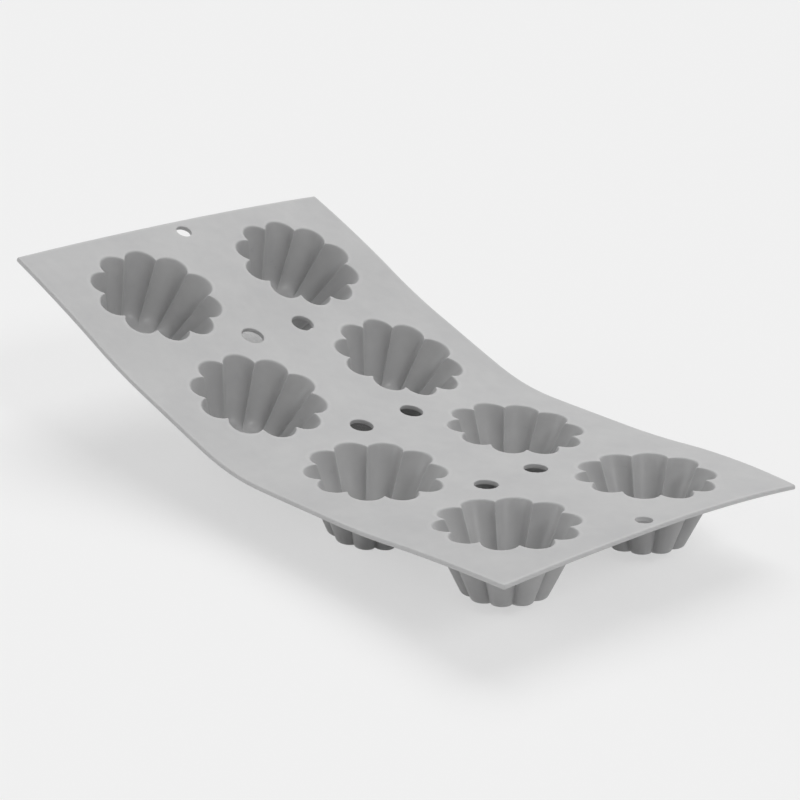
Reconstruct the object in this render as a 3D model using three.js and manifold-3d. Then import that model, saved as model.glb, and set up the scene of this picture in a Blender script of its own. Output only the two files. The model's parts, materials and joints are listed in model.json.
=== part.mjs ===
import * as THREE from 'three';
import { mergeVertices } from 'three/addons/utils/BufferGeometryUtils.js';
import Module from 'manifold-3d';

const wasm = await Module();
wasm.setup();

// Sheet
const SHEET_LENGTH = 300;
const SHEET_WIDTH = 175;
const SHEET_THICKNESS = 2;
const CORNER_RADIUS = 1;
const END_BORDER = 10.4;

// Rows of cups along the length, from the raised far end to the near end
const ROW_COUNT = 4;
const LEVEL_ROW = 2;
const FOLD_ANGLES_DEG = [8.05, 13.9, 6.4];

// The two columns of cups across the width, from the front long edge to the back one
const COLUMN_NAMES = ['front', 'back'];
const COLUMN_PITCH = 82.9;

// Holes through the sheet
const VENT_DIAMETER = 10;
const VENT_SPACING = 29.5;
const END_HOLE_DIAMETER = 7;
const END_HOLE_MARGIN = 7.5;

// Fluted cup
const LOBE_COUNT = 10;
const CUP_HEIGHT = 28;
const WALL_THICKNESS = 1.5;
const RIM_TIP_RADIUS = 29.5;
const RIM_CUSP_RADIUS = 23.9;
const FOOT_TIP_RADIUS = 15.7;
const FOOT_CUSP_RADIUS = 12.8;
const FOOT_ROUND = 2.2;
const BASE_THICKNESS = 1.8;
const BASE_INSET = 2;

// Clearance between pieces that meet
const GAP = 0.3;

// Steps of round shapes
const STEPS_PER_LOBE = 5;
const ROUND_STEPS = 24;
const EDGE_STEPS = 6;

const SILICONE = 0xbdbdbd;

// Derived sizes
const EDGE_RADIUS = SHEET_THICKNESS / 2;
const END_MARGIN = RIM_TIP_RADIUS + WALL_THICKNESS + END_BORDER;
const ROW_PITCH = (SHEET_LENGTH - 2 * END_MARGIN) / (ROW_COUNT - 1);
const HALF_PITCH = ROW_PITCH / 2;
const FOOT_LEVEL = -CUP_HEIGHT;
const BASE_TOP = FOOT_LEVEL + BASE_THICKNESS;
const LOBE_HALF_ANGLE = Math.PI / LOBE_COUNT;

// Centre distance and radius of the arcs that make an outline with the given tip and cusp radii
function lobeArc(tip, cusp) {
  const x = cusp * Math.cos(LOBE_HALF_ANGLE);
  const centre = (tip * tip - cusp * cusp) / (2 * (tip - x));
  return { centre, radius: tip - centre };
}

// Points of a lobed outline, counter-clockwise, grown outwards by an even offset
function lobedOutline(tip, cusp, offset = 0) {
  const arc = lobeArc(tip, cusp);
  const radius = arc.radius + offset;
  const across = arc.centre * Math.sin(LOBE_HALF_ANGLE);
  const along = Math.sqrt(radius * radius - across * across);
  const end = Math.atan2(across, along) + LOBE_HALF_ANGLE;
  const points = [];
  for (let lobe = 0; lobe < LOBE_COUNT; lobe++) {
    const turn = (2 * lobe + 1) * LOBE_HALF_ANGLE;
    for (let step = 0; step < STEPS_PER_LOBE; step++) {
      const angle = end * ((2 * step) / STEPS_PER_LOBE - 1);
      const x = arc.centre + radius * Math.cos(angle);
      const y = radius * Math.sin(angle);
      points.push([
        x * Math.cos(turn) - y * Math.sin(turn),
        x * Math.sin(turn) + y * Math.cos(turn),
      ]);
    }
  }
  return points;
}

// Points of a circle
function circleOutline(radius, x = 0, y = 0) {
  const points = [];
  for (let step = 0; step < ROUND_STEPS; step++) {
    const angle = (2 * Math.PI * step) / ROUND_STEPS;
    points.push([x + radius * Math.cos(angle), y + radius * Math.sin(angle)]);
  }
  return points;
}

function toShape(points) {
  return new THREE.Shape(points.map(([x, y]) => new THREE.Vector2(x, y)));
}

// Prism of an outline between two levels
function prism(points, bottom, top) {
  const geometry = new THREE.ExtrudeGeometry(toShape(points), {
    depth: top - bottom,
    bevelEnabled: false,
  });
  return geometry.translate(0, 0, bottom);
}

// Closed skin through equal rings; a ring list that returns to its start makes a hollow body
function loft(rings, closedLoop) {
  const count = rings[0].length;
  const positions = rings.flat(2);
  const index = [];
  const last = closedLoop ? rings.length : rings.length - 1;
  for (let ring = 0; ring < last; ring++) {
    const here = ring * count;
    const there = ((ring + 1) % rings.length) * count;
    for (let k = 0; k < count; k++) {
      const next = (k + 1) % count;
      index.push(here + k, there + next, here + next);
      index.push(here + k, there + k, there + next);
    }
  }
  if (!closedLoop) {
    const capLevels = [rings[0][0][2], rings[rings.length - 1][0][2]];
    const first = positions.length / 3;
    positions.push(0, 0, capLevels[0], 0, 0, capLevels[1]);
    const end = (rings.length - 1) * count;
    for (let k = 0; k < count; k++) {
      const next = (k + 1) % count;
      index.push(first, k, next);
      index.push(first + 1, end + next, end + k);
    }
  }
  const geometry = new THREE.BufferGeometry();
  geometry.setAttribute('position', new THREE.Float32BufferAttribute(positions, 3));
  geometry.setIndex(index);
  geometry.computeVertexNormals();
  return geometry;
}

function toManifold(geometry) {
  const plain = geometry.clone();
  plain.deleteAttribute('normal');
  plain.deleteAttribute('uv');
  const merged = mergeVertices(plain, 1e-4);
  return new wasm.Manifold(new wasm.Mesh({
    numProp: 3,
    vertProperties: new Float32Array(merged.attributes.position.array),
    triVerts: new Uint32Array(merged.index.array),
  }));
}

function fromManifold(solid) {
  const mesh = solid.getMesh();
  const geometry = new THREE.BufferGeometry();
  geometry.setAttribute('position', new THREE.BufferAttribute(mesh.vertProperties, 3));
  geometry.setIndex(new THREE.BufferAttribute(mesh.triVerts, 1));
  geometry.computeVertexNormals();
  return geometry;
}

// Where each row's frame stands: x and z of its centre on the sheet's top, and its slope
function rowPlaces() {
  const places = [];
  places[LEVEL_ROW] = { x: 0, z: 0, slope: 0 };
  const step = (from, to, side) => {
    const fold = FOLD_ANGLES_DEG[Math.min(from, to)];
    const slope = places[from].slope + side * THREE.MathUtils.degToRad(fold);
    const axis = onRow(places[from], side * HALF_PITCH, -EDGE_RADIUS);
    const back = onRow({ x: 0, z: 0, slope }, -side * HALF_PITCH, -EDGE_RADIUS);
    places[to] = { x: axis.x - back.x, z: axis.z - back.z, slope };
  };
  for (let row = LEVEL_ROW; row < ROW_COUNT - 1; row++) {
    step(row, row + 1, 1);
  }
  for (let row = LEVEL_ROW; row > 0; row--) {
    step(row, row - 1, -1);
  }
  return places;
}

// A point of a row's own frame, in the frame of the level row
function onRow(place, u, w) {
  return {
    x: place.x + u * Math.cos(place.slope) - w * Math.sin(place.slope),
    z: place.z + u * Math.sin(place.slope) + w * Math.cos(place.slope),
  };
}

// Side view of one row's sheet: round where it meets a neighbour, square at a free end
function sheetProfile(row) {
  const points = [];
  const side = (sign) => {
    const folds = sign < 0 ? row > 0 : row < ROW_COUNT - 1;
    if (!folds) {
      points.push([sign * END_MARGIN, sign < 0 ? 0 : -SHEET_THICKNESS]);
      points.push([sign * END_MARGIN, sign < 0 ? -SHEET_THICKNESS : 0]);
      return;
    }
    const centre = sign * (HALF_PITCH - GAP / 2 - EDGE_RADIUS);
    const start = sign < 0 ? Math.PI / 2 : -Math.PI / 2;
    for (let step = 0; step <= EDGE_STEPS; step++) {
      const angle = start + (Math.PI * step) / EDGE_STEPS;
      points.push([
        centre + EDGE_RADIUS * Math.cos(angle),
        -EDGE_RADIUS + EDGE_RADIUS * Math.sin(angle),
      ]);
    }
  };
  side(-1);
  side(1);
  return points;
}

// Plan of one row's sheet, with rounded corners at a free end
function sheetPlan(row) {
  const half = SHEET_WIDTH / 2;
  const shape = new THREE.Shape();
  const left = row > 0 ? -HALF_PITCH : -END_MARGIN;
  const right = row < ROW_COUNT - 1 ? HALF_PITCH : END_MARGIN;
  const leftRound = row > 0 ? 0 : CORNER_RADIUS;
  const rightRound = row < ROW_COUNT - 1 ? 0 : CORNER_RADIUS;
  shape.moveTo(left + leftRound, -half);
  shape.lineTo(right - rightRound, -half);
  if (rightRound > 0) {
    shape.absarc(right - rightRound, -half + rightRound, rightRound, -Math.PI / 2, 0);
  }
  shape.lineTo(right, half - rightRound);
  if (rightRound > 0) {
    shape.absarc(right - rightRound, half - rightRound, rightRound, 0, Math.PI / 2);
  }
  shape.lineTo(left + leftRound, half);
  if (leftRound > 0) {
    shape.absarc(left + leftRound, half - leftRound, leftRound, Math.PI / 2, Math.PI);
  }
  shape.lineTo(left, -half + leftRound);
  if (leftRound > 0) {
    shape.absarc(left + leftRound, -half + leftRound, leftRound, Math.PI, 1.5 * Math.PI);
  }
  return shape.getPoints(EDGE_STEPS).map((point) => [point.x, point.y]);
}

// Centre of a cup across the width
function columnCentre(column) {
  return (column - (COLUMN_NAMES.length - 1) / 2) * COLUMN_PITCH;
}

function makeSheet(row) {
  const profile = new THREE.ExtrudeGeometry(toShape(sheetProfile(row)), {
    depth: SHEET_WIDTH,
    bevelEnabled: false,
  });
  profile.rotateX(Math.PI / 2);
  profile.translate(0, SHEET_WIDTH / 2, 0);
  const below = -2 * SHEET_THICKNESS;
  const above = SHEET_THICKNESS;
  let solid = toManifold(profile);
  solid = solid.intersect(toManifold(prism(sheetPlan(row), below, above)));
  const cut = (points) => {
    solid = solid.subtract(toManifold(prism(points, below, above)));
  };
  const rim = lobedOutline(RIM_TIP_RADIUS + WALL_THICKNESS, RIM_CUSP_RADIUS + WALL_THICKNESS, GAP);
  COLUMN_NAMES.forEach((name, column) => {
    cut(rim.map(([x, y]) => [x, y + columnCentre(column)]));
  });
  for (const sign of [-1, 1]) {
    const folds = sign < 0 ? row > 0 : row < ROW_COUNT - 1;
    if (folds) {
      cut(circleOutline(VENT_DIAMETER / 2, sign * HALF_PITCH, -VENT_SPACING / 2));
      cut(circleOutline(VENT_DIAMETER / 2, sign * HALF_PITCH, VENT_SPACING / 2));
    } else {
      cut(circleOutline(END_HOLE_DIAMETER / 2, sign * (END_MARGIN - END_HOLE_MARGIN)));
    }
  }
  return fromManifold(solid);
}

// Ring of the cup at a level: inner skin for a zero offset, outer skin for a wall's thickness
function cupRing(level, offset) {
  const share = -level / CUP_HEIGHT;
  const tip = THREE.MathUtils.lerp(RIM_TIP_RADIUS, FOOT_TIP_RADIUS, share);
  const cusp = THREE.MathUtils.lerp(RIM_CUSP_RADIUS, FOOT_CUSP_RADIUS, share);
  return lobedOutline(tip + offset, cusp + offset).map(([x, y]) => [x, y, level]);
}

// Same ring as at one level, laid at another
function laid(ring, level) {
  return ring.map(([x, y]) => [x, y, level]);
}

// Outline of the loose base and of the seat round it
function baseOutline(offset) {
  return lobedOutline(FOOT_TIP_RADIUS - BASE_INSET, FOOT_CUSP_RADIUS - BASE_INSET, offset);
}

function makeWall() {
  const outerFoot = cupRing(FOOT_LEVEL + FOOT_ROUND, WALL_THICKNESS);
  const shoulder = cupRing(FOOT_LEVEL + FOOT_ROUND / 4, WALL_THICKNESS - FOOT_ROUND / 4);
  const toe = cupRing(FOOT_LEVEL, WALL_THICKNESS - FOOT_ROUND);
  const seat = baseOutline(GAP);
  const rim = cupRing(0, WALL_THICKNESS);
  return loft([
    cupRing(0, 0),
    rim,
    laid(rim, -SHEET_THICKNESS),
    outerFoot,
    shoulder,
    toe,
    laid(seat, FOOT_LEVEL),
    laid(seat, BASE_TOP),
    cupRing(BASE_TOP, 0),
  ], true);
}

function makeBase() {
  const outline = baseOutline(0);
  return loft([laid(outline, BASE_TOP), laid(outline, FOOT_LEVEL)], false);
}

function makePiece(name, geometry) {
  const material = new THREE.MeshStandardMaterial({ color: SILICONE, roughness: 0.6 });
  const mesh = new THREE.Mesh(geometry, material);
  mesh.name = name;
  return mesh;
}

// One row: its sheet with the cups hung in it, sloped as it stands
function makeRow(row, place, wall, base) {
  const number = row + 1;
  const group = new THREE.Group();
  group.position.set(place.x, 0, place.z);
  group.rotation.y = -place.slope;
  group.add(makePiece(`sheet_row_${number}`, makeSheet(row)));
  COLUMN_NAMES.forEach((side, column) => {
    const cup = new THREE.Group();
    cup.position.y = columnCentre(column);
    cup.add(makePiece(`cup_${number}_${side}_wall`, wall));
    cup.add(makePiece(`cup_${number}_${side}_base`, base));
    group.add(cup);
  });
  return group;
}

const rows = new THREE.Group();
const cupWall = makeWall();
const cupBase = makeBase();
rowPlaces().forEach((place, row) => rows.add(makeRow(row, place, cupWall, cupBase)));

// Stand the mould on its lowest face, centred in plan
const bounds = new THREE.Box3().setFromObject(rows, true);
const middle = bounds.getCenter(new THREE.Vector3());
rows.position.set(-middle.x, -middle.y, -bounds.min.z);

const mould = new THREE.Group();
mould.add(rows);

export default mould;
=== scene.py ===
"""Silicone flan mould: its soft skin, its finish, and the light and camera of the photograph.

The skin is modelled flat, as the mould comes out of its tool, and then laid into the bend that it was
photographed in. The sheet is cut into strips that ride on the rows of cups or bend between them, and each
cup is laid into the bend beneath its row.
"""

import json
import logging
import math
from dataclasses import dataclass, field
from enum import Enum
from itertools import pairwise
from typing import Callable, Sequence

import bmesh
import bpy
import numpy as np
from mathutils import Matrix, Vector


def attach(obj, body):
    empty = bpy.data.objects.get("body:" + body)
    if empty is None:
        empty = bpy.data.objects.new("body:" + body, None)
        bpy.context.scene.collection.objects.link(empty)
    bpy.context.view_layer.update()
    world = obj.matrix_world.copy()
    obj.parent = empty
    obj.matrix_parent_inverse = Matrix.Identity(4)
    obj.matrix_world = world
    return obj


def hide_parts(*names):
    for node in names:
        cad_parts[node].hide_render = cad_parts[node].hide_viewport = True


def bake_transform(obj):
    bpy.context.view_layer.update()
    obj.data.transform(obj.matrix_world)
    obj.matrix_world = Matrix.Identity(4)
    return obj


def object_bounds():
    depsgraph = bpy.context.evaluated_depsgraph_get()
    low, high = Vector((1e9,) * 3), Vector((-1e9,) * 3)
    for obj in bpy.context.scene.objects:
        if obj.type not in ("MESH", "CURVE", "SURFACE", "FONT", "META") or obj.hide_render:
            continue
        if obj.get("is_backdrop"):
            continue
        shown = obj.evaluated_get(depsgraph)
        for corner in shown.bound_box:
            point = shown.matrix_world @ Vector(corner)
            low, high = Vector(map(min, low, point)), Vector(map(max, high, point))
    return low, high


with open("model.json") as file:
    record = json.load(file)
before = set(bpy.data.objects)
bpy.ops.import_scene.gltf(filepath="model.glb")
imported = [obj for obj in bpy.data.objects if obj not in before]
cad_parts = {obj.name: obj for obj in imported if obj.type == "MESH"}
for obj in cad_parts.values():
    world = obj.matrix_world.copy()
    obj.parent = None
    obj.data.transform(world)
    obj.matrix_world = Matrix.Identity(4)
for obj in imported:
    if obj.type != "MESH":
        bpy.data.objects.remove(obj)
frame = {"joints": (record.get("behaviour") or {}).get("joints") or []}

LOG = logging.getLogger("flan_mould")
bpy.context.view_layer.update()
FOLDS = ("fold_1_2", "fold_2_3", "fold_3_4")
MERGE = 1e-6
TOUCH = 10 * MERGE
SHARP_ANGLE = math.radians(32)

Point = tuple[float, float, float]
Colour = tuple[float, float, float, float]
Station = tuple[float, float]
WHITE: Colour = (1.0, 1.0, 1.0, 1.0)


class Column(Enum):
    """The two columns of cups, by the long edge of the sheet that they are near."""

    FRONT = "front"
    BACK = "back"

    @property
    def side(self) -> int:
        """Minus one at the front long edge and one at the back."""
        return -1 if self is Column.FRONT else 1


class Mark(Enum):
    """What the finish is told about a point: an edge lightened as rubbed wear and as a painted highlight,
    or a wall polished by its tool.
    """

    EDGE = "rubbed_and_highlit_edge"
    POLISH = "tool_polish"


class Bench:
    """Small steps of modelling by hand: what is active, and what is selected."""

    @staticmethod
    def clear() -> None:
        """Leave edit mode and deselect everything."""
        if bpy.context.mode != "OBJECT":
            bpy.ops.object.mode_set(mode="OBJECT")
        bpy.ops.object.select_all(action="DESELECT")

    @staticmethod
    def active() -> bpy.types.Object:
        """The piece that is being worked on."""
        return bpy.context.view_layer.objects.active

    @staticmethod
    def choose(*pieces: bpy.types.Object) -> None:
        """Select some pieces alone, and work on the first of them.

        Args:
            pieces: What is selected.
        """
        Bench.clear()
        for piece in pieces:
            piece.select_set(True)
        bpy.context.view_layer.objects.active = pieces[0]

    @staticmethod
    def edit(piece: bpy.types.Object) -> None:
        """Open a piece in edit mode with all of it selected.

        Args:
            piece: The piece to work on.
        """
        Bench.choose(piece)
        bpy.ops.object.mode_set(mode="EDIT")
        bpy.ops.mesh.select_all(action="SELECT")

    @staticmethod
    def pick_edges(piece: bpy.types.Object, test: Callable[[bmesh.types.BMEdge], bool]) -> None:
        """Select the edges of the open piece that pass a test.

        Args:
            piece: The piece in edit mode.
            test: Says whether an edge is wanted.
        """
        bpy.ops.mesh.select_mode(type="EDGE")
        bpy.ops.mesh.select_all(action="DESELECT")
        mesh = bmesh.from_edit_mesh(piece.data)
        for edge in mesh.edges:
            if test(edge):
                edge.select_set(True)
        bmesh.update_edit_mesh(piece.data)

    @staticmethod
    def close(name: str) -> bpy.types.Object:
        """Leave edit mode and name the piece.

        Args:
            name: The piece's name.

        Returns:
            The piece.
        """
        bpy.ops.object.mode_set(mode="OBJECT")
        return Bench.label(Bench.active(), name)

    @staticmethod
    def label(piece: bpy.types.Object, name: str) -> bpy.types.Object:
        """Name a piece and its mesh.

        Args:
            piece: The piece.
            name: Its name.

        Returns:
            The same piece.
        """
        piece.name = name
        piece.data.name = name
        return piece

    @staticmethod
    def outward() -> None:
        """Turn all faces of the open piece outward."""
        bpy.ops.mesh.select_all(action="SELECT")
        bpy.ops.mesh.normals_make_consistent(inside=False)

    @staticmethod
    def coat(piece: bpy.types.Object, finish: bpy.types.Material) -> None:
        """Give a piece its finish, and shade it smooth apart from its edges.

        Args:
            piece: The piece.
            finish: Its material.
        """
        piece.data.materials.clear()
        piece.data.materials.append(finish)
        Bench.choose(piece)
        bpy.ops.object.shade_smooth_by_angle(angle=SHARP_ANGLE)

    @staticmethod
    def copy(piece: bpy.types.Object, name: str) -> bpy.types.Object:
        """Copy a piece with a mesh of its own.

        Args:
            piece: The piece to copy.
            name: The copy's name.

        Returns:
            The copy.
        """
        Bench.choose(piece)
        bpy.ops.object.duplicate(linked=False)
        return Bench.label(Bench.active(), name)

    @staticmethod
    def points(piece: bpy.types.Object, what: str = "co") -> np.ndarray:
        """Read a vector of every point of a piece.

        Args:
            piece: The piece.
            what: "co" for places or "normal" for directions.

        Returns:
            One row for each point.
        """
        values = np.empty(3 * len(piece.data.vertices))
        piece.data.vertices.foreach_get(what, values)
        return values.reshape(-1, 3)

    @staticmethod
    def mark(piece: bpy.types.Object, mark: Mark, values: np.ndarray) -> None:
        """Write a mark of every point of a piece, for the finish to read.

        Args:
            piece: The piece.
            mark: What is marked.
            values: One value for each point, from zero to one.
        """
        layer = piece.data.attributes.new(mark.value, "FLOAT", "POINT")
        layer.data.foreach_set("value", np.clip(values, 0, 1).astype(np.float32))

    @staticmethod
    def remove(piece: bpy.types.Object) -> None:
        """Delete a helper piece.

        Args:
            piece: What is no longer needed.
        """
        Bench.choose(piece)
        bpy.ops.object.delete()

    @staticmethod
    def draw_out(stations: Sequence[Station]) -> None:
        """Extrude the selected ring through stations of radius and level about the Z axis.

        Args:
            stations: Radius and level of each ring, the first one being the ring as it is.
        """
        for (radius, level), (next_radius, next_level) in pairwise(stations):
            share = next_radius / radius
            bpy.ops.mesh.extrude_edges_move(TRANSFORM_OT_translate={"value": (0, 0, next_level - level)})
            bpy.ops.transform.resize(value=(share, share, 1), center_override=(0, 0, 0))

    @staticmethod
    def cut(at: Point, normal: Point, drop_behind: bool = False, drop_ahead: bool = False) -> None:
        """Cut the open piece along a plane, and close it where a side is dropped.

        Args:
            at: A point on the plane.
            normal: The plane's normal.
            drop_behind: Whether what lies behind the plane goes.
            drop_ahead: Whether what lies ahead of it goes.
        """
        bpy.ops.mesh.select_all(action="SELECT")
        bpy.ops.mesh.bisect(
            plane_co=at,
            plane_no=normal,
            use_fill=drop_behind or drop_ahead,
            clear_inner=drop_behind,
            clear_outer=drop_ahead,
        )


def rounded_path(corners: Sequence[Station], radii: Sequence[float], steps: int) -> list[Station]:
    """Round the inner corners of a path of radius and level.

    Args:
        corners: The path's corners.
        radii: The round of each corner but the first and the last.
        steps: Steps of each round.

    Returns:
        The stations of the rounded path.
    """
    path = [Vector(corners[0])]
    for before, corner, after, radius in zip(corners, corners[1:], corners[2:], radii):
        here = Vector(corner)
        back = (Vector(before) - here).normalized()
        ahead = (Vector(after) - here).normalized()
        half = back.angle(ahead) / 2
        run = radius / math.tan(half)
        centre = here + (back + ahead).normalized() * (radius / math.sin(half))
        start = (here + back * run - centre).normalized()
        end = (here + ahead * run - centre).normalized()
        path += [centre + start.slerp(end, step / steps) * radius for step in range(steps + 1)]
    path.append(Vector(corners[-1]))
    return [(point.x, point.y) for point in path]


def divided_path(path: Sequence[Station], longest: float) -> list[Station]:
    """Divide the long runs of a path.

    Args:
        path: The stations of the path.
        longest: The longest step that is left.

    Returns:
        The path with more stations.
    """
    out = [path[0]]
    for start, end in pairwise(path):
        run = math.dist(start, end)
        count = max(1, math.ceil(run / longest))
        for step in range(1, count + 1):
            share = step / count
            out.append((start[0] + (end[0] - start[0]) * share, start[1] + (end[1] - start[1]) * share))
    return out


@dataclass(frozen=True)
class RowPlane:
    """Where one row of cups lies: the middle of the sheet at the row's centre, and its directions."""

    centre: np.ndarray
    along: np.ndarray
    normal: np.ndarray


@dataclass
class Bend:
    """The shape that the flat mould takes: rows on planes, soft folds between them, drooping edges."""

    row_pitch: float = 0.0724
    length: float = 0.300
    width: float = 0.175
    thickness: float = 0.002
    fold_reach: float = 0.01617
    bow: float = 0.003106
    bow_spread: float = 0.05598
    near_droop: float = 0.002866
    far_droop: float = 0.001826
    near_twist: float = 0.001402
    far_twist: float = 0.000290
    droop_start: float = 0.32
    crowns: tuple[float, ...] = (0.001344, 0.000102, 0.000560, 0.001165)
    crown_spread: float = 0.032
    even_depth: float = 0.020
    rows: list[RowPlane] = field(default_factory=list)

    def __post_init__(self) -> None:
        """Read the rows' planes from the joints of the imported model."""
        joints = {joint["name"]: joint for joint in frame["joints"]}
        half = self.row_pitch / 2
        axes = [np.array(joints[name]["pos_m"]) for name in FOLDS]
        last = len(axes)
        for row in range(last + 1):
            normal = np.array(joints[f"push_{row + 1}_front"]["axis"], float)
            normal /= np.linalg.norm(normal)
            along = np.array((normal[2], 0.0, -normal[0]))
            centre = axes[row] - along * half if row < last else axes[row - 1] + along * half
            self.rows.append(RowPlane(centre, along, normal))

    def row_centre(self, row: int) -> float:
        """Flat position of a row along the length."""
        return (row - (len(self.rows) - 1) / 2) * self.row_pitch

    def fold_line(self, fold: int) -> float:
        """Flat position of a fold along the length."""
        return self.row_centre(fold) + self.row_pitch / 2

    def middle(self, along: np.ndarray) -> tuple[np.ndarray, np.ndarray]:
        """Follow the middle of the sheet along its length.

        Args:
            along: Flat positions along the length.

        Returns:
            Points of the middle of the sheet, and its normals there.
        """
        count = len(self.rows)
        row = np.clip(np.floor(along / self.row_pitch + count / 2), 0, count - 1).astype(int)
        offset = along - (row - (count - 1) / 2) * self.row_pitch
        centres = np.array([plane.centre for plane in self.rows])
        tangents = np.array([plane.along for plane in self.rows])
        normals = np.array([plane.normal for plane in self.rows])
        points = centres[row] + offset[:, None] * tangents[row]
        upright = normals[row]
        reach = self.fold_reach
        for fold in range(count - 1):
            axis = centres[fold] + tangents[fold] * self.row_pitch / 2
            start = axis - reach * tangents[fold]
            end = axis + reach * tangents[fold + 1]
            away = along - self.fold_line(fold)
            soft = (np.abs(away) < reach)[:, None]
            share = ((away + reach) / (2 * reach))[:, None]
            curve = (1 - share) ** 2 * start + 2 * share * (1 - share) * axis + share**2 * end
            tangent = (1 - share) * (axis - start) + share * (end - axis)
            tangent /= np.linalg.norm(tangent, axis=1, keepdims=True)
            turned = np.stack((-tangent[:, 2], np.zeros(len(along)), tangent[:, 0]), axis=1)
            points = np.where(soft, curve, points)
            upright = np.where(soft, turned, upright)
        return points, upright

    def drop(self, along: np.ndarray, across: np.ndarray) -> np.ndarray:
        """How far the soft sheet lies below the planes of its rows.

        Args:
            along: Flat positions along the length.
            across: Flat positions across the width.

        Returns:
            The drop at each position.
        """
        share = across / (self.width / 2)
        run = (0.5 - self.droop_start) * self.length
        near = np.clip((along - self.droop_start * self.length) / run, 0, 1) ** 2
        far = np.clip((-along - self.droop_start * self.length) / run, 0, 1) ** 2
        bow = np.exp(-((along / self.bow_spread) ** 2))
        droop = share**2 * (self.near_droop * near + self.far_droop * far + self.bow * bow)
        twist = share * np.abs(share) * (self.near_twist * near + self.far_twist * far)
        crown = np.zeros(len(along))
        for row, lift in enumerate(self.crowns):
            crown += lift * np.exp(-(((along - self.row_centre(row)) / self.crown_spread) ** 2))
        return droop + twist - crown * (1 - share**4)

    def place(self, flat: np.ndarray) -> np.ndarray:
        """Lay points of the flat mould into its bend, with the cups' feet kept on their rows' planes.

        Args:
            flat: Points of the flat mould, its top face at level zero.

        Returns:
            The same points in the part's frame.
        """
        points, upright = self.middle(flat[:, 0])
        depth = np.clip((-flat[:, 2] - self.thickness) / self.even_depth, 0, 1)
        drop = self.drop(flat[:, 0], flat[:, 1]) * (1 - depth**2 * (3 - 2 * depth))
        level = flat[:, 2] + self.thickness / 2 - drop
        placed = points + level[:, None] * upright
        placed[:, 1] += flat[:, 1]
        return placed

    def spot(self, along: float, across: float, level: float) -> Point:
        """Lay a single point of the flat mould into its bend."""
        return tuple(self.place(np.array([[along, across, level]]))[0])

    def lay(self, piece: bpy.types.Object, shift: Point = (0.0, 0.0, 0.0)) -> None:
        """Lay a flat piece into the bend.

        Args:
            piece: The piece, modelled flat.
            shift: How far it is moved first.
        """
        placed = self.place(Bench.points(piece) + np.array(shift))
        piece.data.vertices.foreach_set("co", placed.ravel())
        piece.data.update()


class Tone:
    """A shader value that is written as a Python expression."""

    def __init__(self, tree: bpy.types.NodeTree, socket: bpy.types.NodeSocket) -> None:
        """Wrap an output socket of a node tree."""
        self.tree = tree
        self.socket = socket

    @staticmethod
    def empty_tree(owner: bpy.types.Material | bpy.types.World) -> bpy.types.NodeTree:
        """Switch on the nodes of a material or world and clear them.

        Args:
            owner: The material or world.

        Returns:
            Its empty node tree.
        """
        owner.use_nodes = True
        owner.node_tree.nodes.clear()
        return owner.node_tree

    @staticmethod
    def node(
        tree: bpy.types.NodeTree,
        kind: str,
        settings: dict[str, object] | None = None,
        inputs: dict[str | int, object] | None = None,
        output: str | int = 0,
    ) -> "Tone":
        """Add a node.

        Args:
            tree: The tree that gets the node.
            kind: The node's type.
            settings: What is set on the node before its sockets, with a ramp's two stops under "stops".
            inputs: Values or links of its sockets.
            output: The socket that is handed back.

        Returns:
            The node's output.
        """
        made = tree.nodes.new(kind)
        for name, value in (settings or {}).items():
            if name == "stops":
                for element, (place, colour) in zip(made.color_ramp.elements, value):
                    element.position = place
                    element.color = colour
            else:
                setattr(made, name, value)
        for name, value in (inputs or {}).items():
            socket = Tone.find(made.inputs, name)
            if isinstance(value, Tone):
                tree.links.new(value.socket, socket)
            else:
                socket.default_value = value
        return Tone(tree, Tone.find(made.outputs, output))

    @staticmethod
    def find(sockets: Sequence[bpy.types.NodeSocket], key: str | int) -> bpy.types.NodeSocket:
        """Find a socket that the node's settings have switched on.

        Args:
            sockets: The node's inputs or outputs.
            key: The socket's number, its identifier or its name.

        Returns:
            The socket.
        """
        if isinstance(key, int):
            return sockets[key]
        return next((socket for socket in sockets if socket.identifier == key), None) or sockets[key]

    def maths(self, operation: str, first: "Tone | float", second: "Tone | float") -> "Tone":
        """Add a Math node.

        Args:
            operation: The node's operation.
            first: Its first value.
            second: Its second value.

        Returns:
            The result.
        """
        return Tone.node(self.tree, "ShaderNodeMath", {"operation": operation}, {0: first, 1: second})

    def to_surface(self, kind: str = "ShaderNodeOutputMaterial") -> None:
        """Link this shader to the output of its material or world.

        Args:
            kind: The type of the output node.
        """
        output = self.tree.nodes.new(kind)
        self.tree.links.new(self.socket, output.inputs["Surface"])

    def __add__(self, other: "Tone | float") -> "Tone":
        """Sum of two values."""
        return self.maths("ADD", self, other)

    def __sub__(self, other: "Tone | float") -> "Tone":
        """Difference of two values."""
        return self.maths("SUBTRACT", self, other)

    def __rsub__(self, other: float) -> "Tone":
        """Difference of a number and a value."""
        return self.maths("SUBTRACT", other, self)

    def between(self, first: "Tone | Colour", second: Colour) -> "Tone":
        """Mix two colours by this value.

        Args:
            first: The colour at zero.
            second: The colour at one.

        Returns:
            The mixed colour.
        """
        inputs = {"Factor_Float": self, "A_Color": first, "B_Color": second}
        return Tone.node(self.tree, "ShaderNodeMix", {"data_type": "RGBA"}, inputs, "Result_Color")

    def __mul__(self, other: "Tone | float") -> "Tone":
        """Product of two values."""
        return self.maths("MULTIPLY", self, other)


@dataclass(frozen=True)
class Noise:
    """A cloudy pattern that follows the piece."""

    scale: float
    detail: float
    roughness: float

    def tone(self, place: Tone) -> Tone:
        """Add the pattern to a node tree.

        Args:
            place: Coordinates of the piece.

        Returns:
            The pattern's value.
        """
        inputs = {"Vector": place, "Scale": self.scale, "Detail": self.detail, "Roughness": self.roughness}
        return Tone.node(place.tree, "ShaderNodeTexNoise", {"noise_dimensions": "3D"}, inputs, "Fac")


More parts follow.
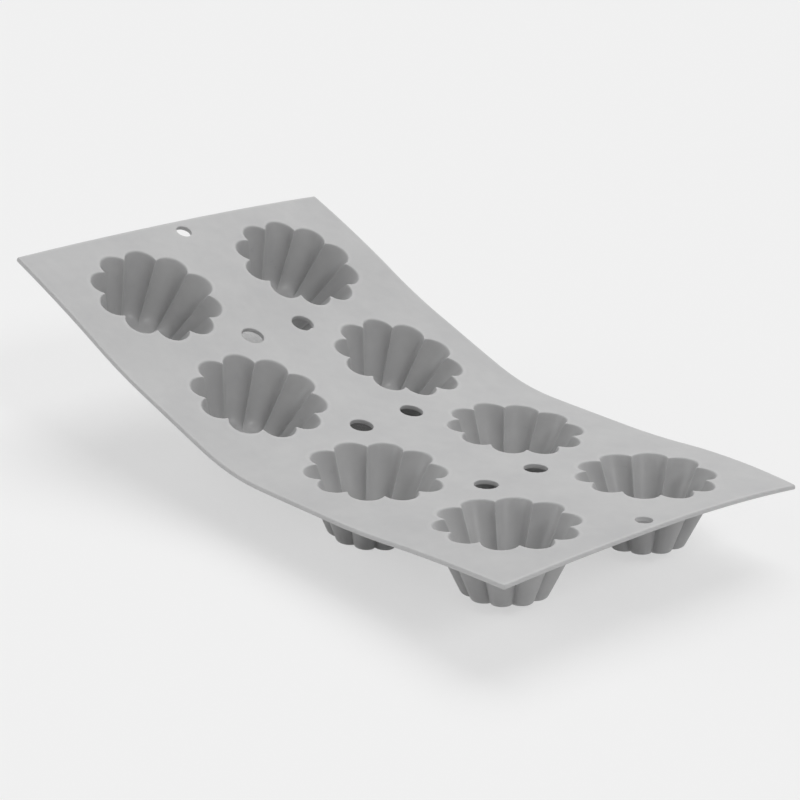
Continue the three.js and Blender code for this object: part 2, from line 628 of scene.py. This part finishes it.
@dataclass(frozen=True)
class Silicone:
    """Grey bakeware silicone: satin from its tool, faintly clouded, with a fine moulded grain."""

    name: str = "grey_silicone"
    pale: Colour = (0.515, 0.515, 0.515, 1.0)
    deep: Colour = (0.470, 0.470, 0.473, 1.0)
    pale_stop: float = 0.62
    deep_stop: float = 0.36
    cloud: Noise = Noise(scale=38.0, detail=4.0, roughness=0.55)
    flow: Noise = Noise(scale=170.0, detail=3.0, roughness=0.5)
    grain: Noise = Noise(scale=1900.0, detail=2.0, roughness=0.5)
    cloud_share: float = 0.65
    flow_share: float = 0.35
    roughness: float = 0.50
    flow_swing: float = 0.12
    grain_swing: float = 0.05
    relief: float = 0.35
    relief_depth: float = 0.00004
    flow_relief: float = 1.5
    specular: float = 0.38
    ior: float = 1.41
    # Lighter colour of the edges: partly rubbed wear, partly a painted highlight line.
    rubbed_highlight: Colour = (0.64, 0.64, 0.64, 1.0)
    rub_highlight_share: float = 0.55
    rub_highlight_least: float = 0.5
    rub_highlight_swing: float = 0.6
    rub_gloss: float = 0.06
    polish_gloss: float = 0.20

    def material(self) -> bpy.types.Material:
        """Make the material.

        Returns:
            The silicone.
        """
        material = bpy.data.materials.new(self.name)
        tree = Tone.empty_tree(material)
        place = Tone.node(tree, "ShaderNodeTexCoord", output="Object")
        cloud = self.cloud.tone(place)
        flow = self.flow.tone(place)
        grain = self.grain.tone(place)
        veil = cloud * self.cloud_share + flow * self.flow_share
        stops = [(self.deep_stop, self.deep), (self.pale_stop, self.pale)]
        clouded = Tone.node(tree, "ShaderNodeValToRGB", {"stops": stops}, {"Fac": veil})
        edge = self.marked(tree, Mark.EDGE)
        polish = self.marked(tree, Mark.POLISH)
        # Edges are lightened: partly rubbed wear, partly a painted highlight.
        rub_highlight = edge * (flow * self.rub_highlight_swing + self.rub_highlight_least) * self.rub_highlight_share
        base = self.roughness - self.flow_swing / 2 - self.grain_swing / 2
        rough = flow * self.flow_swing + grain * self.grain_swing + base
        height = grain + flow * self.flow_relief
        bump = Tone.node(
            tree,
            "ShaderNodeBump",
            inputs={"Strength": self.relief, "Distance": self.relief_depth, "Height": height},
        )
        surface = Tone.node(
            tree,
            "ShaderNodeBsdfPrincipled",
            inputs={
                "Base Color": rub_highlight.between(clouded, self.rubbed_highlight),
                "Roughness": rough - edge * self.rub_gloss - polish * self.polish_gloss,
                "Normal": bump,
                "Specular IOR Level": self.specular,
                "IOR": self.ior,
            },
        )
        surface.to_surface()
        return material

    @staticmethod
    def marked(tree: bpy.types.NodeTree, mark: Mark) -> Tone:
        """Read a mark of the pieces.

        Args:
            tree: The material's node tree.
            mark: What is marked.

        Returns:
            The mark's value.
        """
        return Tone.node(tree, "ShaderNodeAttribute", {"attribute_name": mark.value}, output="Fac")


@dataclass
class Cup:
    """One fluted cup, modelled once about its own axis with its rim at level zero."""

    bend: Bend
    lobes: int = 10
    rim_tip: float = 0.0295
    rim_cusp: float = 0.0239
    foot_tip: float = 0.0157
    height: float = 0.028
    wall: float = 0.0015
    floor: float = 0.0015
    seam_reach: float = 0.0019
    rim_round: float = 0.0012
    collar_round: float = 0.0008
    floor_round: float = 0.0060
    foot_round: float = 0.0026
    ridge_round: float = 0.0008
    ridge_steps: int = 4
    arc_steps: int = 14
    round_steps: int = 5
    wall_step: float = 0.0022
    centre_share: float = 0.1
    column_pitch: float = 0.0829
    stretch_top: float = -0.004
    stretch_end: float = -0.0255
    cutter_share: float = 4.0
    inner_facing: float = 0.1
    # Rim lightening: partly rubbed wear, partly a painted highlight.
    rim_rub_highlight: float = 0.25
    rim_rub_highlight_middle: float = 0.3
    rim_rub_highlight_spread: float = 1.3
    foot_rub: float = 0.2
    foot_facing: tuple[float, float] = (-0.97, -0.3)

    @property
    def seam_tip(self) -> float:
        """Tip radius of the line where the cup meets the sheet."""
        return self.rim_tip + self.seam_reach

    def tip_at(self, level: float) -> float:
        """Tip radius of the inner wall at a level."""
        return self.rim_tip + (self.foot_tip - self.rim_tip) * (-level / self.height)

    def ring(self, tip: float) -> None:
        """Start a piece with the lobed ring of the cup, open in edit mode, with the ring selected.

        Args:
            tip: Tip radius of the ring.
        """
        half = math.pi / self.lobes
        near = self.rim_cusp * math.cos(half)
        centre = (self.rim_tip**2 - self.rim_cusp**2) / (2 * (self.rim_tip - near))
        radius = self.rim_tip - centre
        across = centre * math.sin(half)
        sweep = half + math.atan2(across, math.sqrt(radius**2 - across**2))
        Bench.clear()
        bpy.ops.mesh.primitive_plane_add(size=radius)
        bpy.ops.object.mode_set(mode="EDIT")
        bpy.ops.mesh.select_mode(type="VERT")
        bpy.ops.mesh.select_all(action="SELECT")
        bpy.ops.mesh.merge(type="CENTER")
        start = (centre + radius * math.cos(sweep), -radius * math.sin(sweep), 0.0)
        bpy.ops.transform.translate(value=start)
        bpy.ops.mesh.spin(steps=self.arc_steps, angle=-2 * sweep, center=(centre, 0, 0), axis=(0, 0, 1))
        bpy.ops.mesh.select_all(action="SELECT")
        bpy.ops.transform.rotate(value=half, orient_axis="Z", center_override=(0, 0, 0))
        bpy.ops.mesh.spin(steps=self.lobes, dupli=True, angle=2 * math.pi, center=(0, 0, 0), axis=(0, 0, 1))
        bpy.ops.mesh.select_all(action="SELECT")
        bpy.ops.mesh.remove_doubles(threshold=MERGE)
        self.round_ridges()
        share = tip / self.rim_tip
        bpy.ops.mesh.select_all(action="SELECT")
        bpy.ops.transform.resize(value=(share, share, 1), center_override=(0, 0, 0))

    def round_ridges(self) -> None:
        """Round the sharp points of the ring a little, as silicone leaves its tool."""
        piece = Bench.active()
        bpy.ops.mesh.select_mode(type="VERT")
        bpy.ops.mesh.select_all(action="DESELECT")
        mesh = bmesh.from_edit_mesh(piece.data)
        for vertex in mesh.verts:
            vertex.select_set(vertex.co.length < self.rim_cusp + TOUCH)
        bmesh.update_edit_mesh(piece.data)
        bpy.ops.mesh.bevel(offset=self.ridge_round, segments=self.ridge_steps, affect="VERTICES")

    def inside(self) -> list[Station]:
        """Stations of the cavity, from the seam over the rim and down to the floor.

        Returns:
            Tip radius and level of each ring.
        """
        floor = self.floor - self.height
        corners = [
            (self.seam_tip, 0.0),
            (self.rim_tip, 0.0),
            (self.tip_at(floor), floor),
            (self.foot_tip * self.centre_share, floor),
        ]
        path = rounded_path(corners, [self.rim_round, self.floor_round], self.round_steps)
        return divided_path(path, self.wall_step)

    def outside(self) -> list[Station]:
        """Stations of the outer face, from the seam down the collar and the wall to the foot.

        Returns:
            Tip radius and level of each ring.
        """
        under = -self.bend.thickness
        corners = [
            (self.seam_tip, 0.0),
            (self.seam_tip, under),
            (self.tip_at(under) + self.wall, under),
            (self.foot_tip + self.wall, -self.height),
            (self.foot_tip * self.centre_share, -self.height),
        ]
        path = [corners[0]]
        path += rounded_path(corners[1:], [self.collar_round, self.foot_round], self.round_steps)
        return divided_path(path, self.wall_step)

    def model(self) -> bpy.types.Object:
        """Model the cup about its own axis.

        Returns:
            The cup, flat and unplaced.
        """
        self.ring(self.seam_tip)
        for stations in (self.inside(), self.outside()):
            Bench.pick_edges(Bench.active(), lambda edge: len(edge.link_faces) < 2)
            Bench.draw_out(stations)
            bpy.ops.mesh.merge(type="CENTER")
        bpy.ops.mesh.select_all(action="SELECT")
        bpy.ops.mesh.remove_doubles(threshold=MERGE)
        Bench.outward()
        model = Bench.close("cup_model")
        self.mark(model)
        return model

    def mark(self, model: bpy.types.Object) -> None:
        """Mark the cup's rim, lightened as rubbed wear and as a painted highlight, its rubbed foot, and its
        polished cavity.

        Args:
            model: The cup, flat and unplaced.
        """
        level = Bench.points(model)[:, 2]
        facing = Bench.points(model, "normal")[:, 2]
        inner = facing > self.inner_facing
        # The lighter line inside the rim is partly rubbed wear and partly a painted highlight.
        away = np.abs(level + self.rim_round * self.rim_rub_highlight_middle) / (self.rim_round * self.rim_rub_highlight_spread)
        rim = self.rim_rub_highlight * inner * (1 - away)
        low, high = self.foot_facing
        foot = (facing < high) * (facing > low) * (level < self.foot_round - self.height) * self.foot_rub
        Bench.mark(model, Mark.EDGE, np.maximum(rim, foot))
        Bench.mark(model, Mark.POLISH, inner * (-level - self.rim_round) / (2 * self.rim_round))

    def cutter(self) -> bpy.types.Object:
        """Model the prism that cuts the cup's seam out of the sheet.

        Returns:
            The prism, standing through the sheet about the Z axis.
        """
        deep = self.cutter_share * self.bend.thickness
        self.ring(self.seam_tip)
        bpy.ops.mesh.select_all(action="SELECT")
        bpy.ops.mesh.edge_face_add()
        bpy.ops.transform.translate(value=(0, 0, deep / 2))
        bpy.ops.mesh.extrude_region_move(TRANSFORM_OT_translate={"value": (0, 0, -deep)})
        Bench.outward()
        return Bench.close("cup_cutter")

    def across(self, column: Column) -> float:
        """Flat position of a column across the width."""
        return column.side * self.column_pitch / 2

    def dress(
        self,
        model: bpy.types.Object,
        row: int,
        column: Column,
        finish: bpy.types.Material,
    ) -> bpy.types.Object:
        """Copy the cup into its place, lay it into the bend and give it its finish.

        Args:
            model: The unplaced cup.
            row: The row, from zero.
            column: The column.
            finish: The silicone.

        Returns:
            The placed cup.
        """
        name = f"cup_{row + 1}_{column.value}"
        piece = Bench.copy(model, f"{name}_skin")
        along, across = self.bend.row_centre(row), self.across(column)
        self.bend.lay(piece, (along, across, 0.0))
        Bench.coat(piece, finish)
        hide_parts(f"{name}_wall", f"{name}_base")
        self.bend.spot(along, across, self.stretch_top)
        self.bend.spot(along, across, self.stretch_end)
        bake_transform(piece)
        return piece


@dataclass
class Sheet:
    """The flat sheet with its vents and end holes, in strips that ride on rows or bend between them."""

    bend: Bend
    cup: Cup
    corner: float = 0.001
    edge_round: float = 0.0007
    edge_steps: int = 4
    vent_radius: float = 0.005
    vent_spacing: float = 0.0295
    end_hole_radius: float = 0.0035
    end_hole_margin: float = 0.0075
    hole_round: float = 0.0004
    hole_sides: int = 64
    strip_reach: float = 0.0057
    strip_step: float = 0.0008
    row_step: float = 0.0024
    cross_step: float = 0.0058
    # Band of edge lightening: partly rubbed wear, partly a painted highlight.
    rub_highlight_reach: float = 0.0018
    hole_rub_highlight: float = 0.2

    def blank(self) -> bpy.types.Object:
        """Model the plain slab with its rounded corners and edges.

        Returns:
            The slab, its top face at level zero.
        """
        thick = self.bend.thickness
        Bench.clear()
        bpy.ops.mesh.primitive_plane_add(size=1.0)
        slab = Bench.active()
        Bench.edit(slab)
        bpy.ops.transform.resize(value=(self.bend.length, self.bend.width, 1))
        bpy.ops.mesh.select_mode(type="VERT")
        bpy.ops.mesh.bevel(offset=self.corner, segments=self.edge_steps, affect="VERTICES")
        bpy.ops.mesh.select_all(action="SELECT")
        bpy.ops.mesh.extrude_region_move(TRANSFORM_OT_translate={"value": (0, 0, -thick)})
        Bench.outward()
        Bench.pick_edges(slab, lambda edge: abs(edge.verts[0].co.z - edge.verts[1].co.z) < MERGE)
        bpy.ops.mesh.bevel(offset=self.edge_round, segments=self.edge_steps, affect="EDGES")
        return Bench.close("sheet_blank")

    def drill(self, radius: float, along: float, across: float) -> bpy.types.Object:
        """Model the cutter of a round hole, flared so that the hole's edges come out rounded.

        Args:
            radius: The hole's radius.
            along: Its flat place along the length.
            across: Its flat place across the width.

        Returns:
            The cutter.
        """
        thick = self.bend.thickness
        flare = radius + self.hole_round
        corners = [(flare, thick), (flare, 0.0)]
        for step in range(1, self.edge_steps + 1):
            turn = math.pi / 2 * step / self.edge_steps
            drop = -self.hole_round * (1 - math.cos(turn))
            corners.append((flare - self.hole_round * math.sin(turn), drop))
        lower = [(reach, -thick - level) for reach, level in reversed(corners)]
        Bench.clear()
        bpy.ops.mesh.primitive_circle_add(vertices=self.hole_sides, radius=flare, fill_type="NGON")
        bpy.ops.object.mode_set(mode="EDIT")
        bpy.ops.mesh.select_all(action="SELECT")
        bpy.ops.transform.translate(value=(0, 0, thick))
        Bench.pick_edges(Bench.active(), lambda edge: True)
        Bench.draw_out(corners + lower)
        bpy.ops.mesh.edge_face_add()
        Bench.outward()
        bpy.ops.transform.translate(value=(along, across, 0))
        return Bench.close("hole_cutter")

    def cutters(self) -> bpy.types.Object:
        """Join the cutters of all cups, vents and end holes.

        Returns:
            One cutter.
        """
        tools = []
        seam = self.cup.cutter()
        for row in range(len(self.bend.rows)):
            for column in Column:
                tool = Bench.copy(seam, "seam_cutter")
                Bench.edit(tool)
                place = (self.bend.row_centre(row), self.cup.across(column), 0)
                bpy.ops.transform.translate(value=place)
                tools.append(Bench.close("seam_cutter"))
        Bench.remove(seam)
        tools += [self.drill(*hole) for hole in self.holes()]
        Bench.choose(*tools)
        bpy.ops.object.join()
        return tools[0]

    def pierce(self, slab: bpy.types.Object) -> None:
        """Cut the cups, vents and end holes out of the slab.

        Args:
            slab: The plain slab.
        """
        tool = self.cutters()
        Bench.choose(slab)
        cut = slab.modifiers.new("holes", "BOOLEAN")
        cut.operation = "DIFFERENCE"
        cut.solver = "EXACT"
        cut.object = tool
        bpy.ops.object.modifier_apply(modifier=cut.name)
        Bench.remove(tool)

    def part_off(
        self,
        slab: bpy.types.Object,
        name: str,
        low: float | None,
        high: float | None,
    ) -> bpy.types.Object:
        """Cut one strip out of a copy of the slab.

        Args:
            slab: The pierced slab.
            name: The strip's name.
            low: Where the strip starts along the length, or None at the sheet's end.
            high: Where it ends, or None at the sheet's end.

        Returns:
            The strip, closed at its cuts.
        """
        Bench.edit(Bench.copy(slab, name))
        if low is not None:
            Bench.cut((low, 0, 0), (1, 0, 0), drop_behind=True)
        if high is not None:
            Bench.cut((high, 0, 0), (1, 0, 0), drop_ahead=True)
        return Bench.close(name)

    def divide(self, strip: bpy.types.Object, step: float) -> None:
        """Divide a strip finely enough to bend.

        Args:
            strip: The strip.
            step: The longest step along the length.
        """
        xs = [vertex.co.x for vertex in strip.data.vertices]
        low, high = min(xs), max(xs)
        Bench.edit(strip)
        count = math.ceil((high - low) / step)
        for index in range(1, count):
            Bench.cut((low + (high - low) * index / count, 0, 0), (1, 0, 0))
        count = math.ceil(self.bend.width / self.cross_step)
        for index in range(1, count):
            Bench.cut((0, (index / count - 0.5) * self.bend.width, 0), (0, 1, 0))
        for side in (-1, 1):
            Bench.cut((side * (self.bend.length / 2 - self.rub_highlight_reach), 0, 0), (1, 0, 0))
            Bench.cut((0, side * (self.bend.width / 2 - self.rub_highlight_reach), 0), (0, 1, 0))
        Bench.close(strip.name)

    def mark(self, strip: bpy.types.Object) -> None:
        """Mark the edges of the sheet and of its holes, lightened as rubbed wear and as a painted
        highlight.

        Args:
            strip: A strip, still flat.
        """
        flat = Bench.points(strip)
        from_end = self.bend.length / 2 - np.abs(flat[:, 0])
        from_side = self.bend.width / 2 - np.abs(flat[:, 1])
        # The lighter band along the edges is partly rubbed wear and partly a painted highlight.
        rub_highlight = 1 - np.minimum(from_end, from_side) / self.rub_highlight_reach
        for radius, along, across in self.holes():
            away = np.abs(np.hypot(flat[:, 0] - along, flat[:, 1] - across) - radius)
            rub_highlight = np.maximum(rub_highlight, self.hole_rub_highlight * (1 - away / self.rub_highlight_reach))
        Bench.mark(strip, Mark.EDGE, rub_highlight)
        Bench.mark(strip, Mark.POLISH, np.zeros(len(flat)))

    def holes(self) -> list[tuple[float, float, float]]:
        """The round holes of the sheet.

        Returns:
            Radius, flat place along the length and flat place across the width of each.
        """
        vents = [
            (self.vent_radius, self.bend.fold_line(fold), column.side * self.vent_spacing / 2)
            for fold in range(len(self.bend.rows) - 1)
            for column in Column
        ]
        reach = self.bend.length / 2 - self.end_hole_margin
        return vents + [(self.end_hole_radius, end * reach, 0.0) for end in (-1, 1)]

    def finish_strip(self, strip: bpy.types.Object, step: float, finish: bpy.types.Material) -> None:
        """Lay a strip into the bend and give it its finish.

        Args:
            strip: The strip, still flat.
            step: The longest step along the length.
            finish: The silicone.
        """
        self.divide(strip, step)
        self.mark(strip)
        self.bend.lay(strip)
        Bench.coat(strip, finish)

    def build(self, finish: bpy.types.Material) -> list[bpy.types.Object]:
        """Build the whole sheet.

        Args:
            finish: The silicone.

        Returns:
            The strips that ride on the rows, then those that bend between them.
        """
        slab = self.blank()
        self.pierce(slab)
        pieces = []
        last = len(self.bend.rows) - 1
        for row in range(last + 1):
            low = None if row == 0 else self.bend.fold_line(row - 1) + self.strip_reach
            high = None if row == last else self.bend.fold_line(row) - self.strip_reach
            strip = self.part_off(slab, f"sheet_row_{row + 1}_skin", low, high)
            self.finish_strip(strip, self.row_step, finish)
            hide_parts(f"sheet_row_{row + 1}")
            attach(strip, f"row_{row + 1}")
            pieces.append(strip)
        for fold in range(last):
            line = self.bend.fold_line(fold)
            low, high = line - self.strip_reach, line + self.strip_reach
            strip = self.part_off(slab, f"flex_strip_{fold + 1}_{fold + 2}", low, high)
            self.finish_strip(strip, self.strip_step, finish)
            middle = -self.bend.thickness / 2
            self.bend.spot(low, 0.0, middle)
            self.bend.spot(high, 0.0, middle)
            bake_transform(strip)
            pieces.append(strip)
        Bench.remove(slab)
        return pieces


@dataclass(frozen=True)
class Lamp:
    """A broad lamp far away; its angles are in degrees."""

    name: str
    strength: float
    spread: float
    tilt: float
    side: float

    def hang(self) -> None:
        """Hang the lamp: tilted from straight above, towards a side."""
        Bench.clear()
        turn = (0.0, math.radians(self.tilt), math.radians(self.side))
        bpy.ops.object.light_add(type="SUN", rotation=turn)
        lamp = Bench.active()
        lamp.name = self.name
        lamp.data.energy = self.strength
        lamp.data.angle = math.radians(self.spread)


@dataclass
class Studio:
    """The pale floor, the soft light and the camera of the photograph."""

    floor_size: float = 12.0
    floor_gap: float = 0.0001
    floor_colour: Colour = (0.90, 0.90, 0.90, 1.0)
    paper_colour: Colour = (0.912, 0.912, 0.912, 1.0)
    shadow_share: float = 0.40
    # Painted shade: the colour the floor darkens to beneath the raised end.
    shade_colour: Colour = (0.10, 0.10, 0.10, 1.0)
    shade_middle: Point = (-0.115, 0.070, 0.0)
    shade_reach: Point = (0.160, 0.080, 1.0)
    shade_core: float = 0.50
    shade_depth: float = 2.6
    shade_height: float = 0.25
    shade_samples: int = 3
    sky_strength: float = 0.275
    lamps: tuple[Lamp, ...] = (
        Lamp("back_lamp", strength=1.57, spread=45, tilt=34, side=122),
        Lamp("right_lamp", strength=0.70, spread=20, tilt=46, side=2),
        Lamp("left_lamp", strength=0.55, spread=40, tilt=72, side=-130),
    )
    camera_place: Point = (0.728019, -0.771765, 0.460438)
    camera_turn: Point = (math.radians(68.2281), math.radians(-5.0553), math.radians(45.2135))
    lens: float = 122.522
    sensor: float = 36.0

    def floor(self, level: float) -> None:
        """Lay the floor under the mould.

        Args:
            level: The height of the mould's lowest point.
        """
        Bench.clear()
        bpy.ops.mesh.primitive_plane_add(size=self.floor_size, location=(0, 0, level - self.floor_gap))
        ground = Bench.active()
        ground.name = "pale_floor"
        material = bpy.data.materials.new("pale_floor")
        tree = Tone.empty_tree(material)
        paper = self.paper(tree)
        shaded = Tone.node(tree, "ShaderNodeBsdfDiffuse", inputs={"Color": paper})
        even = Tone.node(tree, "ShaderNodeEmission", inputs={"Color": paper, "Strength": 1.0})
        seen = Tone.node(tree, "ShaderNodeMixShader", inputs={0: self.shadow_share, 1: even, 2: shaded})
        around = Tone.node(tree, "ShaderNodeBsdfDiffuse", inputs={"Color": self.floor_colour})
        eye = self.looking(tree)
        Tone.node(tree, "ShaderNodeMixShader", inputs={0: eye, 1: around, 2: seen}).to_surface()
        ground.data.materials.append(material)
        ground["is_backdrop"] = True

    @staticmethod
    def looking(tree: bpy.types.NodeTree) -> Tone:
        """Tell rays that look at the backdrop from rays that light the mould.

        Args:
            tree: The tree of the floor or of the world.

        Returns:
            One for a ray that looks, straight or in a reflection, and zero for the rest.
        """
        looks = Tone.node(tree, "ShaderNodeLightPath", output="Is Camera Ray")
        for kind in ("Is Glossy Ray", "Is Transmission Ray"):
            other = Tone.node(tree, "ShaderNodeLightPath", output=kind)
            looks = looks.maths("MAXIMUM", looks, other)
        return looks

    def paper(self, tree: bpy.types.NodeTree) -> Tone:
        """Colour the floor: pale, with a painted shade that deepens where the raised end covers it.

        Args:
            tree: The floor's node tree.

        Returns:
            The colour.
        """
        cover = Tone.node(
            tree,
            "ShaderNodeAmbientOcclusion",
            {"samples": self.shade_samples},
            {"Distance": self.shade_height},
            "AO",
        )
        place = Tone.node(tree, "ShaderNodeTexCoord", output="Object")
        beneath = Tone.node(
            tree,
            "ShaderNodeMapping",
            {"vector_type": "TEXTURE"},
            {"Vector": place, "Location": self.shade_middle, "Scale": self.shade_reach},
        )
        near = Tone.node(
            tree,
            "ShaderNodeTexGradient",
            {"gradient_type": "SPHERICAL"},
            {"Vector": beneath},
            "Fac",
        )
        shade = Tone.node(
            tree,
            "ShaderNodeMapRange",
            {"interpolation_type": "SMOOTHSTEP"},
            {"Value": near, "From Max": self.shade_core},
        )
        # Painted shade: the floor's colour darkens by ambient occlusion in a patch beneath the raised end.
        depth = (1.0 - cover) * shade * self.shade_depth
        return depth.between(self.paper_colour, self.shade_colour)

    def light(self) -> None:
        """Light the mould from a pale sky and broad lamps."""
        world = bpy.data.worlds.new("pale_sky")
        tree = Tone.empty_tree(world)
        pale = {"Color": WHITE, "Strength": self.sky_strength}
        paper = {"Color": self.paper_colour, "Strength": 1.0}
        sky = Tone.node(tree, "ShaderNodeBackground", inputs=pale)
        backdrop = Tone.node(tree, "ShaderNodeBackground", inputs=paper)
        both = Tone.node(tree, "ShaderNodeMixShader", inputs={0: self.looking(tree), 1: sky, 2: backdrop})
        both.to_surface("ShaderNodeOutputWorld")
        bpy.context.scene.world = world
        for lamp in self.lamps:
            lamp.hang()

    def camera(self) -> None:
        """Set the camera where the photograph was taken from."""
        Bench.clear()
        bpy.ops.object.camera_add(location=self.camera_place, rotation=self.camera_turn)
        eye = Bench.active()
        eye.name = "photo_camera"
        eye.data.lens = self.lens
        eye.data.sensor_width = self.sensor
        bpy.context.scene.camera = eye

    def build(self, level: float) -> None:
        """Set up floor, light, camera and view.

        Args:
            level: The height of the mould's lowest point.
        """
        self.floor(level)
        self.light()
        self.camera()
        bpy.context.scene.view_settings.view_transform = "Standard"


def main() -> None:
    """Build the sheet, the cups and the studio."""
    logging.basicConfig(level=logging.INFO, format="%(message)s")
    bend = Bend()
    finish = Silicone().material()
    cup = Cup(bend)
    sheet = Sheet(bend, cup)
    for piece in sheet.build(finish):
        LOG.info("%s: %d faces", piece.name, len(piece.data.polygons))
    model = cup.model()
    for row in range(len(bend.rows)):
        for column in Column:
            piece = cup.dress(model, row, column, finish)
            LOG.info("%s: %d faces", piece.name, len(piece.data.polygons))
    Bench.remove(model)
    Studio().build(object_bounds()[0][2])


if __name__ == "__main__":
    main()
